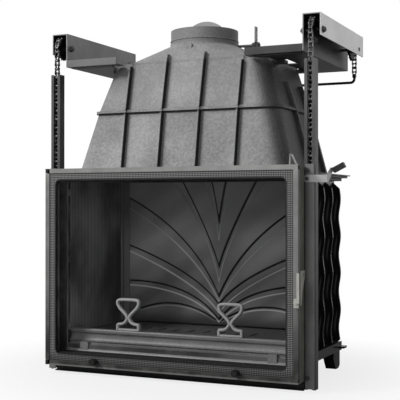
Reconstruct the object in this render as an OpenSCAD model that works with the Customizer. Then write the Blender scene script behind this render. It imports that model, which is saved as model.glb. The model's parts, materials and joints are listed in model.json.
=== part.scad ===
// Fireplace insert: a cast firebox with a counterbalanced lift-up glass door,
// chain gear above, a ribbed smoke hood and a flue collar with a damper.
// Origin: on the floor, mid width, under the firebox's front face. -Y is the room side.

/* [Door] */
// Width of the door leaf
door_w = 780; // [720:1:840]
// Height of the door leaf
door_h = 574; // [560:1:590]
// Height of the door's bottom edge above the floor
door_z = 25; // [20:1:32]
// Thickness of the leaf, front face to back
leaf_t = 13.3; // [12.5:0.1:15]
// Width of the frame strip round the glass
strip_w = 13; // [11:0.5:16]
// Thickness of the frame strip
strip_t = 2.5; // [2:0.1:3.5]
// Thickness of the glass
glass_t = 4; // [3:0.5:5]
// Diameter of a lifting knob
knob_d = 21; // [16:1:26]
// How far a lifting knob stands out
knob_out = 28; // [20:1:36]
// Distance between the lifting knobs
knob_pitch = 438; // [300:2:600]
// Radius of the door's hinge pins
hinge_pin_r = 3; // [2.5:0.1:3.5]

/* [Door carrier] */
// Depth of the carrier's channel section
carrier_d = 39; // [32:1:42]
// Face width of the carrier's channel section
carrier_w = 38; // [30:1:42]
// Sheet thickness of the carrier
carrier_t = 2.5; // [2:0.1:3.5]
// Travel of the door, in chain links
lift_links = 38; // [30:1:38]

/* [Firebox] */
// Distance from the door's side edge in to the firebox wall at the front
box_front_in = 24; // [24:1:34]
// How much each side wall comes in towards the back
box_taper = 20; // [16:1:32]
// Depth from the front face to the fan panel
panel_y = 324; // [300:1:330]
// Depth from the front face to the rear casting
rear_y = 388; // [370:1:392]
// Wall thickness of the castings
wall = 7; // [6:0.5:9]
// Height of the fire bed above the floor
hearth_z = 114; // [108:1:120]
// How far the fin tips stand out past the wall's inner face at the front
fin_out = 8; // [4:1:10]
// Distance between fins
fin_pitch = 80; // [70:1:90]
// Thickness of a fin
fin_t = 6; // [4:0.5:8]
// How far the fin tips wave in and out
fin_wave = 3; // [1:0.5:3.5]
// Height of one wave on the fins
wave_h = 111.5; // [90:0.5:130]

/* [Base] */
// Height of the base casting's underside above the floor
base_z = 54; // [48:1:60]
// Height of the base casting
base_h = 26; // [20:1:28]

/* [Hood] */
// Depth of the stepped top plate's upper face below the door's top edge
top_step_down = 16; // [10:1:20]
// Height of the lower hood with its band
lower_hood_h = 190; // [140:1:200]
// Height of the hood's shoulders above the shelves' underside
shoulder_up = 1; // [0.5:0.1:8]
// Height of the neck's upper rim above the shoulders
neck_up = 64.3; // [60:0.1:70]
// Depth from the front face to the flue axis
flue_y = 216.5; // [205:0.5:230]
// Outer diameter of the flue collar
collar_d = 204; // [196:1:206]
// Height of the flue collar
collar_h = 43; // [36:1:60]
// Wall thickness of the flue collar
collar_t = 5; // [4:0.5:7]
// Thickness of the ribs on the hood
rib_t = 6; // [4:0.5:8]
// How far the ribs stand proud of the hood
rib_out = 13; // [6:0.5:14]

/* [Damper] */
// Diameter of the damper disc
damper_d = 168; // [150:1:170]
// Radius of the damper shaft
shaft_r = 4; // [3.5:0.1:5]
// Distance from the flue axis to the damper lever
damper_lever_x = 167; // [150:1:180]

/* [Chain gear] */
// Chain pitch
link = 12.7; // [12.7:0.1:12.7]
// Teeth on a sprocket
teeth = 16; // [16:4:16]
// Links between the front and rear sprockets
top_links = 29; // [28:1:30]
// Links from the door carriage up to the sprocket
front_links = 45; // [44:1:46]
// Links from the rear sprocket down to the counterweight
rear_links = 6; // [5:1:8]
// Radius of a chain roller
roller_r = 4.1; // [3.9:0.05:4.2]
// Distance from the door's side edge out to a chain
chain_out = 10; // [9:0.5:11]
// Depth from the front face to the front sprocket's axle
axle_y = 53; // [52:0.5:54.5]
// Depth of the sprocket axles below the channels' top
axle_down = 43.5; // [42:0.1:46]
// Radius of a sprocket axle
axle_r = 4; // [3.5:0.1:5]
// Radial clearance of every running fit
running = 0.05; // [0.02:0.01:0.09]

/* [Rails and channels] */
// Width of a guide rail
rail_w = 31; // [30:0.5:31]
// Depth of a guide rail
rail_d = 25; // [24:0.5:28]
// Sheet thickness of the rails
rail_t = 2; // [1.5:0.1:2.5]
// Width of the slot in a guide rail
rail_slot = 13; // [12:0.5:15]
// Depth of the guide rails' top below the sprocket axles
rail_down = 82; // [72:1:84]
// Depth from the front face to the guide rails
rail_y = 11; // [10.5:0.1:11.5]
// Distance from a chain in to the channel's inner leg
channel_in = 27.3; // [26:0.1:32]
// Width of a channel
channel_w = 51.4; // [50:0.1:60]
// Height of a channel's top above the door's top edge
channel_up = 411.5; // [410:0.5:420]
// Length of a channel
channel_l = 435.6; // [430:0.1:470]
// Depth from the front face to the front of the channels
channel_y = 31.8; // [28:0.1:36]
// Height of a channel's long inner leg
inner_leg = 98.8; // [90:0.1:100]
// Height of a channel's short outer leg
outer_leg = 61; // [50:0.5:70]
// Sheet thickness of the channels and shelves
sheet = 3; // [2:0.1:3]
// Height of the lip at the front of a shelf
shelf_lip = 18; // [10:1:24]

/* [Counterweight] */
// Half width of the counterweight
weight_x = 200; // [150:1:206]
// Thickness of one counterweight plate
weight_t = 5.3; // [4:0.1:5.3]
// Height of the counterweight
weight_h = 190; // [120:1:355]
// Radius of the bail rod
bail_r = 4; // [3:0.1:5]

/* [Hidden] */
$fn = 48;
seat = 0.3;
eps = 0.01;

iron = [0.16, 0.16, 0.17];
hood_iron = [0.60, 0.60, 0.60];
steel = [0.62, 0.62, 0.62];
dark_steel = [0.30, 0.30, 0.31];
black = [0.05, 0.05, 0.05];
brass_zinc = [0.72, 0.71, 0.62];

// Door leaf, measured from its front face
leaf_y = -58;
leaf_back = leaf_y + leaf_t;
door_x = door_w / 2;
door_top = door_z + door_h;
box_front_x = door_x - box_front_in;
box_back_x = box_front_x - box_taper;
fin_tip_x = box_front_x + fin_out;
chain_x = door_x + chain_out;
channel_x = chain_x - channel_in;
top_z = door_top - top_step_down;
band_z = top_z + lower_hood_h;
channel_z = door_top + channel_up;
channel_low = channel_z - inner_leg;
shelf_low = channel_low - sheet;
shoulder_z = shelf_low + shoulder_up;
neck_z = shoulder_z + neck_up;
axle_z = channel_z - axle_down;
rail_h = axle_z - rail_down;
hinge_r = 5.3;
hinge_x = -door_x + 5;
hinge_y = leaf_back - hinge_r;
hinge_block_h = 14;
hinge_block_w = 9;
glass_edge = 7;
glass_y = leaf_y + strip_t + 0.2;

// Carrier behind the leaf
carrier_y = leaf_back + 0.7;
carrier_back = carrier_y + carrier_d;
gasket_w = 10;
gasket_in = 9;
arm_x = carrier_w - 26;

// Firebox walls
bend_y = 52;
bend_x = box_front_x - 9;
front_x = door_x - 14;
flange_t = 8;
base_top = base_z + base_h;
lip_top = base_top - 10;
side_top = top_z - 18;
lug_z = [base_top + 40, (base_top + side_top - 5) / 2, side_top - 45];
flute_pitch = 8;
flute_depth = 1.6;

// Hood slices: half width, front and back at each height
hood_t = 8;
slice_low = [door_x - 50, 21, 410];
slice_band = [door_x - 101, 53, 407];
slice_top = [door_x - 146, 84, 403];
hood_corner = 42;
neck_r = 104;
neck_bore_r = 88;
band_h = 8;
band_out = 9;
rib_x = [59.5, 178];

// Chain gear
sprocket_r = link / (2 * sin(180 / teeth));
sprocket_t = 7;
tip_r = sprocket_r + 1.2;
plate_gap = sprocket_t / 2 + 0.4;
plate_t = 2;
plate_h = 10.5;
chain_y = axle_y - sprocket_r;
rear_axle_y = axle_y + top_links * link;
rear_chain_y = rear_axle_y + sprocket_r;
anchor_z = axle_z - front_links * link;
hook_z = axle_z - rear_links * link;
travel = lift_links * link;

// Control lever and latch
pivot_x = chain_x - 3;
pivot_z = door_top - 36;
screw_z = [door_z + 8, door_top - 14];
shank_end = 2.8;
pivot_r = 3;
lever_x = chain_x + 53;
grip = [34, 16, 14];
grip_rod_r = 2;

// Counterweight
bail_y = rear_chain_y;
bail_z = hook_z - 20;
bail_bend = 12;
weight_count = 4;
weight_y = 426;
weight_top = bail_z - 16;

function mix(a, b, t) = a + (b - a) * t;
function mix3(a, b, t) = [mix(a[0], b[0], t), mix(a[1], b[1], t), mix(a[2], b[2], t)];

// Hood outline at height z
function hood_at(z) = z < band_z
  ? mix3(slice_low, slice_band, (z - top_z) / (band_z - top_z))
  : mix3(slice_band, slice_top, (z - band_z) / (shoulder_z - band_z));

// Half width inside the side wall at depth y
function wall_x(y) = y < bend_y
  ? mix(box_front_x, bend_x, (y - flange_t) / (bend_y - flange_t))
  : y < panel_y - 16 ? mix(bend_x, box_back_x, (y - bend_y) / (panel_y - 16 - bend_y)) : box_back_x;

// Tip of a wavy fin, out from its own base line
function wave(z) = fin_wave * cos(360 * (z - 66) / wave_h);

// Point at t on the curve with the control points a, b and c
function curve(a, b, c, t) = a * (1 - t) * (1 - t) + b * 2 * t * (1 - t) + c * t * t;

// Unit normal at point i of a path
function along(p, i) = p[min(i + 1, len(p) - 1)] - p[max(i - 1, 0)];
function side_of(p, i) = let (d = along(p, i)) [-d[1], d[0]] / norm(d);

// Outline of a band of half width w (a number, or a list of one for each point)
function band_points(p, w) = concat(
  [for (i = [0 : len(p) - 1]) p[i] + side_of(p, i) * w],
  [for (i = [len(p) - 1 : -1 : 0]) p[i] - side_of(p, i) * w]);

module both() {
  children();
  mirror([1, 0, 0]) children();
}

// Bar with the YZ outline points, from x0 to x1
module bar_x(x0, x1, points) {
  translate([x0, 0, 0]) rotate([90, 0, 90]) linear_extrude(x1 - x0) polygon(points);
}

// Plate with the XZ outline of its children, from y0 to y1
module plate_y(y0, y1) {
  translate([0, y1, 0]) rotate([90, 0, 0]) linear_extrude(y1 - y0) children();
}

module box(x0, x1, y0, y1, z0, z1) {
  translate([x0, y0, z0]) cube([x1 - x0, y1 - y0, z1 - z0]);
}

module rod_x(x0, x1, y, z, r, n = 48) {
  translate([x0, y, z]) rotate([0, 90, 0]) cylinder(h = x1 - x0, r = r, $fn = n);
}

module rod_y(x, y0, y1, z, r, n = 48) {
  translate([x, y0, z]) rotate([-90, 0, 0]) cylinder(h = y1 - y0, r = r, $fn = n);
}

/* Base */

module base_plate() {
  rim = 9;
  color(dark_steel) {
    difference() {
      union() {
        box(-front_x, front_x, flange_t, rear_y + wall + 1, base_z, base_top);
        both() box(front_x - 20, front_x + 17, rear_y - 26, rear_y + 4, base_z + 8, base_z + 14);
      }
      box(-front_x + rim, front_x - rim, flange_t + rim, rear_y + wall - rim, base_z - 1, base_top - rim);
      both() translate([front_x + 9, rear_y - 11, base_z]) cylinder(h = 30, r = 4);
    }
  }
}

module foot(y_out, y_in) {
  toe = (y_in - y_out) / 5;
  bar_x(front_x - 38, front_x - 6, [
    [y_out, base_z - eps], [y_out, 8], [y_out + toe, 0], [y_in - 2 * toe, 0], [y_in - toe, 16],
    [y_in, 34], [y_in, base_z - eps]
  ]);
}

module feet() {
  color(black) both() {
    foot(rear_y + wall, rear_y - 58);
    foot(34, 92);
  }
}

module plinth() {
  plinth_t = 3;
  toe = 8;
  plinth_out = 12;
  color(black) {
    box(-front_x - plinth_out, front_x + plinth_out, 0, plinth_t, 0, base_z - 26);
    box(-front_x - plinth_out, front_x + plinth_out, -toe, plinth_t, 0, plinth_t);
    box(-front_x, front_x, -toe, 30, 0, plinth_t);
    both() for (x = [60, front_x - 76]) box(x - 12, x + 12, plinth_t - eps, 30, 0, base_z - 26);
  }
}

module hearth_lip() {
  bar_r = 12.5;
  bar_y = 14.5;
  block_x = front_x - 80;
  color(iron) {
    difference() {
      union() {
        box(-front_x, front_x, 0, flange_t - 0.1, base_z - 26, lip_top - 8);
        rod_x(-box_front_x + 6, box_front_x - 6, bar_y, lip_top - bar_r, bar_r);
        both() box(block_x - 13, block_x + 13, 4, 16, lip_top - 6, lip_top + 18);
      }
      box(-front_x, front_x, flange_t - 0.1, 40, base_z - 30, base_top);
    }
  }
}

/* Firebox */

flute_count = floor((panel_y - 30 - bend_y) / flute_pitch);

module side_outline() {
  fluted = [for (i = [0 : flute_count - 1]) each [
    [wall_x(bend_y + i * flute_pitch), bend_y + i * flute_pitch],
    [wall_x(bend_y + (i + 0.5) * flute_pitch) + flute_depth, bend_y + (i + 0.5) * flute_pitch]
  ]];
  polygon(concat(
    [[box_front_x - 14, 0], [box_front_x - 14, flange_t], [box_front_x, flange_t + 2]], fluted,
    [[box_back_x, panel_y - 16], [box_back_x, rear_y - eps]],
    [[box_back_x + wall, rear_y - eps], [box_back_x + wall, panel_y - 16], [bend_x + wall, bend_y]],
    [[box_front_x + wall, flange_t + 2], [front_x, flange_t], [front_x, 0]]
  ));
}

module side_fin(y) {
  steps = 44;
  top = side_top - 2;
  root = wall_x(y) + wall - 2;
  chamfer = 20;
  translate([0, y + fin_t / 2, 0]) rotate([90, 0, 0]) linear_extrude(fin_t) polygon(concat(
    [[root, base_top + seat], [root, top]],
    [for (i = [steps : -1 : 0]) let (z = mix(base_top + 6, top - chamfer, i / steps)) [fin_tip_x + wave(z), z]],
    [[fin_tip_x - 6, base_top + seat]]
  ));
}

module side_casting() {
  bead_r = 4.2;
  color(iron) difference() {
    union() {
      translate([0, 0, base_top]) linear_extrude(side_top - base_top) side_outline();
      box(box_front_x - 14, front_x, 0, flange_t - 0.1, lip_top + 0.1, base_top + eps);
      for (y = [fin_pitch - 18 : fin_pitch : rear_y - 4]) side_fin(y);
      for (z = lug_z) box(bend_x, chain_x - rail_w / 2, 14, 32, z, z + 20);
      box(box_back_x - 29 + 0.3, box_back_x + 2, panel_y - 2, panel_y + 4, hearth_z + 4, side_top);
      translate([box_back_x - bead_r + 0.2, panel_y - 1.8 - bead_r, hearth_z + 4]) cylinder(h = side_top - hearth_z - 4, r = bead_r);
    }
  }
}

module left_side() mirror([1, 0, 0]) side_casting();
module right_side() side_casting();

module rear_casting() {
  steps = 30;
  tip_y = rear_y + wall + 16;
  stay_z = 300;
  color(iron) {
    box(-box_back_x - wall, box_back_x + wall, rear_y, rear_y + wall, base_top, side_top);
    for (x = [-280 : fin_pitch : 280]) translate([x - fin_t / 2, 0, 0]) rotate([90, 0, 90])
      linear_extrude(fin_t) polygon(concat(
        [[rear_y + 1, base_top + seat], [rear_y + 1, side_top - 4]],
        [for (i = [steps : -1 : 0]) let (z = mix(base_top + 4, side_top - 24, i / steps)) [tip_y + wave(z), z]]
      ));
    both() for (z = lug_z) box(weight_x + 4, weight_x + 28, rear_y + 1, weight_y - 4, z, z + 24);
    both() box(panel_half - 40, panel_half - 10, panel_y + panel_t + seat, rear_y + 1, stay_z, stay_z + 12);
  }
}

// One edge of a fan flute: start and end heights, and the point that pulls the curve
function fan_edge(start, pull, end) = [for (i = [0 : fan_steps]) curve(start, pull, end, i / fan_steps)];

// Outline of one flute between its upper and its lower edge
module flute(upper, lower) {
  top = fan_edge(upper[0], upper[1], upper[2]);
  low = fan_edge(lower[0], lower[1], lower[2]);
  polygon(concat(top, [for (i = [fan_steps : -1 : 0]) low[i]]));
}

fan_steps = 16;
panel_half = box_back_x - 29;
panel_t = 9;
relief = 4;

// Right half of the fan: five flutes that meet at mid width and a low arc under them
module half_fan() {
  edge = panel_half + 1;
  mid = -0.6;
  high = side_top + 7;
  flute([[25, high], [9, 500], [mid, 437]], [[48, high], [9, 464], [mid, 380]]);
  flute([[128, high], [22.5, 385], [mid, 297]], [[160, high], [30.5, 407], [mid, 250]]);
  flute([[edge, 516], [85, 401], [mid, 206]], [[edge, 483], [85, 357], [mid, 190]]);
  flute([[edge, 362], [70, 277], [mid, 180]], [[edge, 343], [70, 246], [mid, 155]]);
  flute([[edge, 247], [95, 250], [mid, 134]], [[edge, 232], [95, 229], [mid, 126]]);
  flute([[275, 158], [136, 210], [12, 133]], [[275, 152], [136, 199], [12, 129]]);
}

module fan_panel() {
  color(iron) {
    difference() {
      box(-panel_half, panel_half, panel_y, panel_y + panel_t, hearth_z + 4, side_top);
      plate_y(panel_y - 1, panel_y + relief) both() half_fan();
    }
  }
}

module grate() {
  grate_t = 8;
  half = box_back_x - 4;
  slot_w = 8;
  slot_l = 60;
  slot_y = 150;
  slot_pitch = 50;
  color(iron) difference() {
    union() {
      box(-half, half, 46, panel_y - 5, hearth_z - grate_t, hearth_z);
      both() for (y = [60, panel_y - 40]) box(half - 30, half - 14, y, y + 16, base_top, hearth_z - grate_t + eps);
    }
    both() for (x = [slot_pitch / 2 : slot_pitch : 4 * slot_pitch])
      box(x - slot_w / 2, x + slot_w / 2, slot_y, slot_y + slot_l, hearth_z - 20, hearth_z + 1);
  }
}

module ash_pan() {
  pan_t = 2;
  half = box_back_x - 146;
  y0 = panel_y - 250;
  y1 = panel_y - 24;
  color(dark_steel) difference() {
    box(-half, half, y0, y1, base_top, hearth_z - 12);
    box(-half + pan_t, half - pan_t, y0 + pan_t, y1 - pan_t, base_top + pan_t, hearth_z);
  }
}

retainer_top = hearth_z + 10;

module log_retainer() {
  steps = 10;
  foot_z = base_top;
  end_x = bend_x - 0.5;
  color(iron) {
    bar_x(-end_x, end_x, concat(
      [[46, retainer_top], [26, retainer_top], [24, retainer_top - 3], [24, retainer_top - 10], [29, retainer_top - 12]],
      [for (i = [0 : steps]) [
        29 - 11 * (1 - cos(90 * i / steps)), retainer_top - 15 - 20 * sin(90 * i / steps)]],
      [[22, retainer_top - 38], [16.5, retainer_top - 40], [16.5, foot_z]],
      [[36, foot_z], [36, retainer_top - 8], [46, retainer_top - 8]]
    ));
  }
}

module andiron() {
  height = 95;
  bar = 4.2;
  depth = 12;
  half_path = [
    [37, 0], [37, 14], [35, 17], [22, 18], [12, 24], [6, 32], [3.5, 40], [6, 48], [14, 57], [26, 68],
    [34, 77], [36, 84], [33, 90], [26, height - bar], [12, height - bar + 1], [-1, height - bar + 1]
  ];
  foot_path = [[37, 0], [37, 14]];
  plate_y(-depth / 2, depth / 2) both() {
    polygon(band_points(half_path, bar));
    translate([foot_path[0][0] - bar, 0]) square([2 * bar, foot_path[1][1]]);
    translate([0, 6]) square([2 * 33, 5], center = true);
  }
}

andiron_x = 162;
andiron_y = 33;

module left_andiron() color(steel) translate([-andiron_x, andiron_y, retainer_top]) andiron();
module right_andiron() color(steel) translate([andiron_x, andiron_y, retainer_top]) andiron();

module lintel() {
  color(iron) difference() {
    box(-front_x, front_x, 0, flange_t - 0.1, side_top + 0.1, door_top);
    box(-front_x + 30, front_x - 30, -1, flange_t, door_top - 8, door_top + 1);
  }
}

/* Top plate and hood */

module top_step(x, z0, z1) {
  translate([0, 0, z0]) linear_extrude(z1 - z0) difference() {
    polygon([
      [-front_x + 2, flange_t], [front_x - 2, flange_t], [front_x - 2, 40], [x, 40], [x, rear_y + x - front_x + 8],
      [-x, rear_y + x - front_x + 8], [-x, 40], [-front_x + 2, 40]
    ]);
    translate([-316, 36]) square([632, rear_y - 50]);
  }
}

module top_plate() {
  color(iron) {
    top_step(front_x, side_top + 0.1, top_z - 9);
    top_step(front_x + 14, top_z - 9.01, top_z - 3);
    top_step(front_x + 21, top_z - 3.01, top_z);
  }
}

// Thin slice of the hood at height z, drawn in by the distance inset
module hood_slice(s, z, inset) {
  r = hood_corner - inset / 2;
  translate([0, 0, z]) linear_extrude(0.01) hull() both()
    for (y = [s[1] + inset + r, s[2] - inset - r]) translate([s[0] - inset - r, y]) circle(r = r, $fn = 32);
}

module hood_solid(z0, z1, inset) {
  hull() {
    hood_slice(hood_at(z0), z0, inset);
    hood_slice(hood_at(z1), z1 - 0.01, inset);
  }
}

module front_ribs(z0, z1, places) {
  a = hood_at(z0);
  b = hood_at(z1);
  both() for (x = places)
    bar_x(x - rib_t / 2, x + rib_t / 2, [
      [a[1] - rib_out, z0], [a[1] + hood_t - 1, z0], [b[1] + hood_t - 1, z1], [b[1] - rib_out, z1]
    ]);
}

module side_ribs(z0, z1) {
  a = hood_at(z0);
  b = hood_at(z1);
  both() for (y = [190, 320]) translate([0, y + rib_t / 2, 0]) rotate([90, 0, 0]) linear_extrude(rib_t)
    polygon([[a[0] - hood_t + 1, z0], [a[0] + rib_out, z0], [b[0] + rib_out, z1], [b[0] - hood_t + 1, z1]]);
}

module lower_hood() {
  low = slice_low;
  s = hood_at(band_z);
  color(hood_iron) {
    difference() {
      union() {
        hood_solid(top_z, band_z, 0);
        translate([0, 0, band_z - band_h]) linear_extrude(band_h) hood_outline(s, band_out);
        translate([0, 0, top_z]) linear_extrude(6) hood_outline(low, 10);
      }
      hood_solid(top_z - 0.01, band_z + 0.01, hood_t);
    }
    front_ribs(top_z + 5, band_z - band_h + 1, rib_x);
    side_ribs(top_z + 5, band_z - band_h + 1);
  }
}

// Outline of the hood at the slice s, grown by the distance out, with round corners
module hood_outline(s, out) {
  r = hood_corner + out;
  x = s[0] + out;
  union() {
    translate([-x + r, s[1] - out]) square([2 * (x - r), s[2] - s[1] + 2 * out]);
    translate([-x, s[1] - out + r]) square([2 * x, s[2] - s[1] + 2 * out - 2 * r]);
    both() for (y = [s[1] - out + r, s[2] + out - r]) translate([x - r, y]) circle(r = r);
  }
}

// Roof of the hood: from a base on the shoulders up to the round neck
module crown_solid(inset, lift) {
  base = [slice_top[0] - 44, slice_top[1], slice_top[2] - 7];
  rim = [base[0] - 14, base[1] + 3, base[2] - 11];
  hull() {
    hood_slice(base, shoulder_z + eps - lift, inset);
    hood_slice(rim, shoulder_z + 12 - lift, inset);
    translate([0, flue_y, neck_z - 7 - lift]) cylinder(h = 2, r = neck_r - inset, $fn = 48);
  }
}

shaft_z = neck_z - 8;

module upper_hood() {
  ledge_y = [150, 360];
  ledge_h = 9;
  color(hood_iron) {
    difference() {
      union() {
        hood_solid(band_z, shoulder_z, 0);
        both() for (y = ledge_y) box(slice_top[0] - 8, channel_x - 94, y, y + 34, shelf_low - ledge_h, shelf_low);
      }
      hood_solid(band_z - 0.01, shoulder_z + 0.01, hood_t);
    }
    front_ribs(band_z, shoulder_z - 0.3, [rib_x[0]]);
    front_ribs(band_z, shoulder_z - 5, [rib_x[1]]);
    side_ribs(band_z, shoulder_z - 60);
  }
}

module hood_crown() {
  boss_y = flue_y - neck_r - 2;
  crown_t = 7;
  front = slice_top[1];
  rib_up = 26;
  ledge_t = 6;
  color(hood_iron) {
    difference() {
      union() {
        crown_solid(0, 0);
        translate([0, flue_y, neck_z - 30]) cylinder(h = 30, r = neck_r);
        translate([0, 0, shoulder_z]) linear_extrude(ledge_t) hood_outline(slice_top, 0);
        both() bar_x(rib_x[0] - rib_t / 2, rib_x[0] + rib_t / 2, [
          [front - rib_out, shoulder_z], [front + 10, shoulder_z], [front + 20, shoulder_z + rib_up],
          [front - 6, shoulder_z + rib_up]
        ]);
        rod_y(0, boss_y - 8, boss_y + 10, neck_z - 14, 10);
      }
      crown_solid(crown_t + 1, crown_t);
      translate([0, flue_y, neck_z - 60]) cylinder(h = 70, r = neck_bore_r);
      rod_x(-neck_r - 40, neck_r + 40, flue_y, shaft_z, shaft_r + running);
    }
  }
}

module baffle() {
  half = box_back_x - 96;
  color(iron) bar_x(-half, half, [
    [rear_y - 18, top_z], [rear_y - 8, top_z], [rear_y - 8, top_z + 14], [190, top_z + 66], [186, top_z + 58]
  ]);
}

module flue_collar() {
  bead_z = 11;
  color(hood_iron) translate([0, flue_y, neck_z]) difference() {
    union() {
      cylinder(h = collar_h, r = collar_d / 2);
      cylinder(h = 3, r = neck_r);
      translate([0, 0, bead_z]) rotate_extrude() translate([collar_d / 2 - 0.5, 0]) circle(r = 2.4, $fn = 24);
    }
    translate([0, 0, -1]) cylinder(h = collar_h + 2, r = collar_d / 2 - collar_t);
  }
}

/* Damper */

module damper_shaft() {
  color(dark_steel) rod_x(-neck_r - 8, damper_lever_x + 13, flue_y, shaft_z, shaft_r);
}

module damper_disc() {
  disc_t = 3;
  color(dark_steel) {
    rod_y(0, flue_y + shaft_r, flue_y + shaft_r + disc_t, shaft_z, damper_d / 2, 96);
  }
}

module damper_lever() {
  lever_t = 3;
  lever_h = 55;
  half = 9;
  nut_r = 9;
  nut_t = 9;
  color(steel) difference() {
    union() {
      box(damper_lever_x - lever_t / 2, damper_lever_x + lever_t / 2, flue_y - half, flue_y + half, shaft_z, shaft_z + lever_h);
      rod_x(damper_lever_x - lever_t / 2, damper_lever_x + lever_t / 2, flue_y, shaft_z, half);
      rod_x(damper_lever_x - lever_t / 2 - nut_t, damper_lever_x - lever_t / 2 + eps, flue_y, shaft_z, nut_r, 6);
      rod_x(damper_lever_x + lever_t / 2 - eps, damper_lever_x + lever_t / 2 + nut_t, flue_y, shaft_z, nut_r, 6);
    }
    box(damper_lever_x - 5, damper_lever_x + 5, flue_y - 2.7, flue_y + 2.7, shaft_z + 18, shaft_z + lever_h - 8);
    rod_x(damper_lever_x - 20, damper_lever_x + 20, flue_y, shaft_z, shaft_r + running);
  }
}

/* Jambs, rails, channels and shelves */

module jamb() {
  jamb_t = 2.5;
  x0 = chain_x - 9;
  x1 = chain_x + 14;
  color(dark_steel) difference() {
    union() {
      box(x0, x1, -1, -1 + jamb_t, 4, door_top + 3);
      box(x1 - jamb_t, x1, -1, rail_y, 4, door_top + 3);
    }
    for (z = screw_z) rod_y(pivot_x, -3, 4, z, 2.6);
    rod_y(pivot_x, -3, 4, pivot_z, 2.6);
  }
}

module left_jamb() mirror([1, 0, 0]) jamb();
module right_jamb() jamb();

module rail() {
  half = rail_w / 2;
  color(dark_steel) translate([chain_x, rail_y, 0]) linear_extrude(rail_h) difference() {
    translate([-half, 0]) square([rail_w, rail_d]);
    translate([-half + rail_t, rail_t]) square([rail_w - 2 * rail_t, rail_d - 2 * rail_t]);
    translate([-rail_slot / 2, -1]) square([rail_slot, rail_t + 2]);
  }
}

module rails() both() rail();

module channel() {
  x1 = channel_x + channel_w;
  y1 = channel_y + channel_l;
  color(steel) difference() {
    union() {
      box(channel_x, x1, channel_y, y1, channel_z - sheet, channel_z);
      box(channel_x, channel_x + sheet, channel_y, y1, channel_low, channel_z);
      box(x1 - sheet, x1, channel_y, y1, channel_z - outer_leg, channel_z);
    }
    for (y = [axle_y, rear_axle_y]) rod_x(channel_x - 1, x1 + 1, y, axle_z, axle_r + running);
  }
}

module left_channel() mirror([1, 0, 0]) channel();
module right_channel() channel();

module shelf() {
  x1 = channel_x + sheet;
  inner = slice_top[0] + 8;
  tip = channel_x - 169;
  y1 = channel_y + channel_l;
  notch_y = slice_top[1] - 8;
  color(steel) {
    difference() {
      union() {
        box(inner, x1, channel_y, y1, shelf_low, channel_low - eps);
        box(tip, inner + 1, channel_y, notch_y, shelf_low, channel_low - eps);
      }
      box(inner - 1, inner + 34, 157, 254, channel_low - 20, channel_low + 1);
    }
    box(tip, channel_x - 0.3, channel_y, channel_y + sheet, shelf_low, channel_low + shelf_lip);
    for (y = [channel_y + 12, channel_y + 24]) box(tip + 20, x1 - 12, y, y + 4, shelf_low - 4, shelf_low + eps);
  }
}

module shelves() both() shelf();

module axle_bolts() {
  head_r = 9;
  head_t = 8;
  x1 = channel_x + channel_w;
  color(dark_steel) both() for (y = [axle_y, rear_axle_y]) {
    rod_x(channel_x - head_t - 4, x1 + (y == axle_y ? 9 : 1), y, axle_z, axle_r);
    difference() {
      union() {
        rod_x(channel_x - head_t, channel_x - 0.05, y, axle_z, head_r, 6);
        rod_x(x1 + 0.05, x1 + 1.6, y, axle_z, y == axle_y ? 10 : 6);
        if (y == axle_y) rod_x(x1 + 1.5, x1 + 7, y, axle_z, 7.5, 6);
      }
      rod_x(channel_x - 20, x1 + 20, y, axle_z, axle_r - 0.5);
    }
  }
}

/* Chain gear */

module sprocket(y) {
  seat_r = roller_r + 0.65;
  hub_r = 10;
  color(black) translate([chain_x, y, axle_z]) rotate([0, 90, 0]) difference() {
    union() {
      translate([0, 0, -sprocket_t / 2]) cylinder(h = sprocket_t, r = tip_r, $fn = 96);
      translate([0, 0, -sprocket_t / 2 - 8]) cylinder(h = sprocket_t + 16, r = hub_r);
    }
    for (i = [0 : teeth - 1]) rotate([0, 0, i * 360 / teeth]) translate([sprocket_r, 0, -sprocket_t])
      cylinder(h = 2 * sprocket_t, r = seat_r, $fn = 24);
    translate([0, 0, -30]) cylinder(h = 60, r = axle_r + running);
  }
}

module left_front_sprocket() mirror([1, 0, 0]) sprocket(axle_y);
module right_front_sprocket() sprocket(axle_y);
module left_rear_sprocket() mirror([1, 0, 0]) sprocket(rear_axle_y);
module right_rear_sprocket() sprocket(rear_axle_y);

module roller(y, z) {
  rod_x(chain_x - plate_gap - 0.5, chain_x + plate_gap + 0.5, y, z, roller_r, 24);
}

// Upright stretch of chain, with its side plates and its rollers
module chain_drop(y, z_low, z_high, count) {
  for (s = [-1, 1]) translate([chain_x + s * (plate_gap + plate_t / 2), y, (z_low + z_high) / 2])
    cube([plate_t, plate_h, z_high - z_low], center = true);
  for (i = [0 : count - 2]) roller(y, z_low + 5.5 + i * link);
}

module front_chains() {
  color(dark_steel) both() chain_drop(chain_y, anchor_z - 5.5, axle_z - seat, front_links);
}

module rear_chains() {
  color(dark_steel) both() chain_drop(rear_chain_y, hook_z - 5.5, axle_z - seat, rear_links);
}

// Quarter of a turn of chain round a sprocket
module chain_wrap(y, start) {
  for (s = [-1, 1]) translate([chain_x + s * (plate_gap + plate_t / 2), y, axle_z]) rotate([0, 90, 0])
    rotate([0, 0, start]) rotate_extrude(angle = 90, $fn = 96)
      translate([sprocket_r - plate_h / 2, -plate_t / 2]) square([plate_h, plate_t]);
}

module top_chain() {
  run_z = axle_z + sprocket_r;
  chain_wrap(axle_y, 180);
  chain_wrap(rear_axle_y, 90);
  for (s = [-1, 1]) translate([chain_x + s * (plate_gap + plate_t / 2), (axle_y + rear_axle_y) / 2, run_z])
    cube([plate_t, rear_axle_y - axle_y, plate_h], center = true);
  for (i = [2 : top_links - 2]) roller(axle_y + i * link, run_z);
}

module top_chains() color(dark_steel) both() top_chain();

/* Door carrier */

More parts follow.
